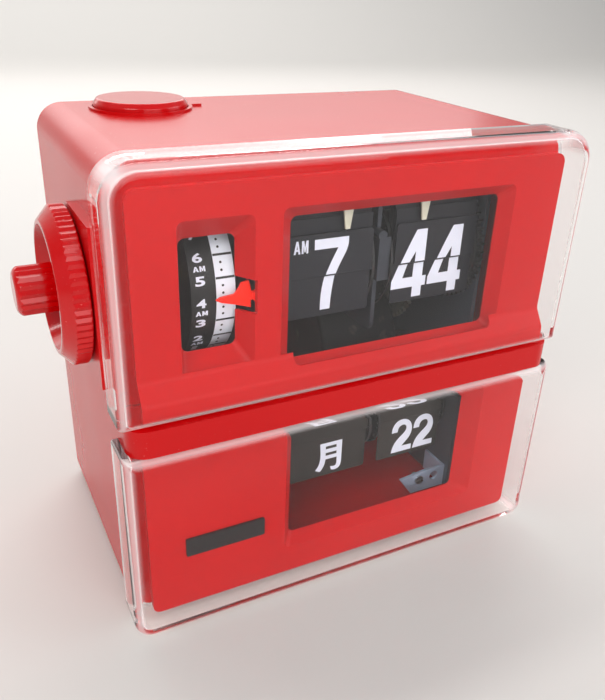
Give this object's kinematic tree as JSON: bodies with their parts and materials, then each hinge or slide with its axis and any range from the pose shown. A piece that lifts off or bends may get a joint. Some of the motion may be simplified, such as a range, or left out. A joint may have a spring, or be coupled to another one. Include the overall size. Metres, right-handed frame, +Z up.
{
  "type": "flip number clock",
  "caption": "Desk alarm clock with falling number flaps for time, weekday and date, a side setting wheel with alarm drum, and clear front covers.",
  "frame": {"origin": "centre of the bounding box's base, on the surface that the feet stand on", "axes": "+X to the right seen from the front, +Y from the display face to the back, +Z up"},
  "size_m": [0.1676, 0.0988, 0.1473],
  "materials": {
    "case_red": "glossy moulded",
    "dial_red": "satin",
    "knob_red": "glossy moulded",
    "crystal_clear": "polished clear acrylic",
    "badge_black": "satin",
    "pointer_orange": "satin paint",
    "drum_black": "satin",
    "scale_white": "satin print",
    "rubber_black": "matt",
    "screw_steel": "zinc plated",
    "axle_steel": "ground",
    "frame_zinc": "zinc plated sheet",
    "finger_cream": "moulded",
    "tube_brass": "drawn",
    "gear_nylon": "moulded nylon",
    "wheel_grey": "moulded",
    "time_flap_black": "satin film",
    "calendar_flap_black": "satin film",
    "motor_steel": "plated can",
    "buzzer_black": "moulded"
  },
  "bodies": {
    "root": {"case_shell": "case_red", "rear_cover": "case_red", "cover_screw_upper_left": "screw_steel", "cover_screw_upper_right": "screw_steel", "cover_screw_lower_left": "screw_steel", "cover_screw_lower_right": "screw_steel", "foot_front_left": "rubber_black", "foot_front_right": "rubber_black", "foot_rear_left": "rubber_black", "foot_rear_right": "rubber_black", "crystal_upper": "crystal_clear", "crystal_lower": "crystal_clear", "dial_plate_upper": "dial_red", "dial_plate_lower": "dial_red", "badge_plate": "badge_black", "alarm_pointer": "pointer_orange", "knob_boss": "case_red", "display_axle": "axle_steel", "calendar_axle": "axle_steel", "hour_flap_lower": "time_flap_black", "hour_flap_stack": "time_flap_black", "minute_flap_lower": "time_flap_black", "minute_flap_stack": "time_flap_black", "weekday_flap_lower": "calendar_flap_black", "weekday_flap_stack": "calendar_flap_black", "date_flap_lower": "calendar_flap_black", "date_flap_stack": "calendar_flap_black", "frame_plate_left": "frame_zinc", "frame_plate_right": "frame_zinc", "tie_rod_upper": "axle_steel", "tie_rod_lower": "axle_steel", "tie_rod_front": "axle_steel", "centre_plate": "frame_zinc", "flap_retaining_fingers": "finger_cream", "calendar_bracket": "frame_zinc", "bracket_screw": "screw_steel", "drive_motor": "motor_steel", "alarm_buzzer": "buzzer_black", "alarm_stop_switch": "buzzer_black", "button_collar": "case_red"},
    "alarm_dial": {"alarm_set_wheel": "knob_red", "alarm_tube_shaft": "tube_brass", "alarm_drum": "drum_black", "alarm_scale_band": "scale_white"},
    "time_setter": {"time_set_knob": "knob_red", "time_set_shaft": "axle_steel", "time_set_gear": "gear_nylon"},
    "layshaft": {"layshaft_gears": "gear_nylon"},
    "minute_drum": {"minute_wheel": "wheel_grey"},
    "hour_drum": {"hour_wheel": "wheel_grey"},
    "weekday_drum": {"weekday_wheel": "wheel_grey"},
    "date_drum": {"date_wheel": "wheel_grey"},
    "motor_rotor": {"motor_pinion": "gear_nylon"},
    "stop_button": {"alarm_stop_button": "knob_red"},
    "hour_flap": {"hour_flap_upper": "time_flap_black"},
    "minute_flap": {"minute_flap_upper": "time_flap_black"},
    "weekday_flap": {"weekday_flap_upper": "calendar_flap_black"},
    "date_flap": {"date_flap_upper": "calendar_flap_black"}
  },
  "joints": [
    {"name": "alarm_dial_turn", "type": "hinge", "parent": "root", "child": "alarm_dial", "pos_m": [0.00875, -0.01295, 0.1048], "axis": [1, 0, 0], "continuous": true},
    {"name": "time_set_turn", "type": "hinge", "parent": "root", "child": "time_setter", "pos_m": [0.00875, -0.01295, 0.1048], "axis": [1, 0, 0], "continuous": true},
    {"name": "layshaft_turn", "type": "hinge", "parent": "root", "child": "layshaft", "pos_m": [0.00875, 0.02105, 0.08225], "axis": [1, 0, 0], "continuous": true},
    {"name": "minute_wheel_turn", "type": "hinge", "parent": "root", "child": "minute_drum", "pos_m": [0.00875, -0.01295, 0.1048], "axis": [1, 0, 0], "continuous": true},
    {"name": "hour_wheel_turn", "type": "hinge", "parent": "root", "child": "hour_drum", "pos_m": [0.00875, -0.01295, 0.1048], "axis": [1, 0, 0], "continuous": true},
    {"name": "weekday_wheel_turn", "type": "hinge", "parent": "root", "child": "weekday_drum", "pos_m": [0.00875, -0.01965, 0.0453], "axis": [1, 0, 0], "continuous": true},
    {"name": "date_wheel_turn", "type": "hinge", "parent": "root", "child": "date_drum", "pos_m": [0.00875, -0.01965, 0.0453], "axis": [1, 0, 0], "continuous": true},
    {"name": "motor_pinion_turn", "type": "hinge", "parent": "root", "child": "motor_rotor", "pos_m": [0.00875, 0.02105, 0.05705], "axis": [1, 0, 0], "continuous": true},
    {"name": "stop_button_press", "type": "slide", "parent": "root", "child": "stop_button", "axis": [0, 0, -1], "range_m": [0, 0.0016], "stiffness_N_per_m": 600, "springref_m": -0.0005},
    {"name": "hour_flap_fall", "type": "hinge", "parent": "root", "child": "hour_flap", "pos_m": [0.00155, -0.03215, 0.1048], "axis": [1, 0, 0], "range_deg": [0, 177]},
    {"name": "minute_flap_fall", "type": "hinge", "parent": "root", "child": "minute_flap", "pos_m": [0.04005, -0.03215, 0.1048], "axis": [1, 0, 0], "range_deg": [0, 177]},
    {"name": "weekday_flap_fall", "type": "hinge", "parent": "root", "child": "weekday_flap", "pos_m": [0.00525, -0.03015, 0.0453], "axis": [1, 0, 0], "range_deg": [0, 177]},
    {"name": "date_flap_fall", "type": "hinge", "parent": "root", "child": "date_flap", "pos_m": [0.03975, -0.03015, 0.0453], "axis": [1, 0, 0], "range_deg": [0, 177]}
  ],
  "couplings": [
    {"joint": "layshaft_turn", "follows": "time_set_turn", "ratio": -1},
    {"joint": "minute_wheel_turn", "follows": "time_set_turn", "ratio": 1},
    {"joint": "motor_pinion_turn", "follows": "time_set_turn", "ratio": 4.25},
    {"joint": "hour_wheel_turn", "follows": "time_set_turn", "ratio": 0.041667}
  ]
}
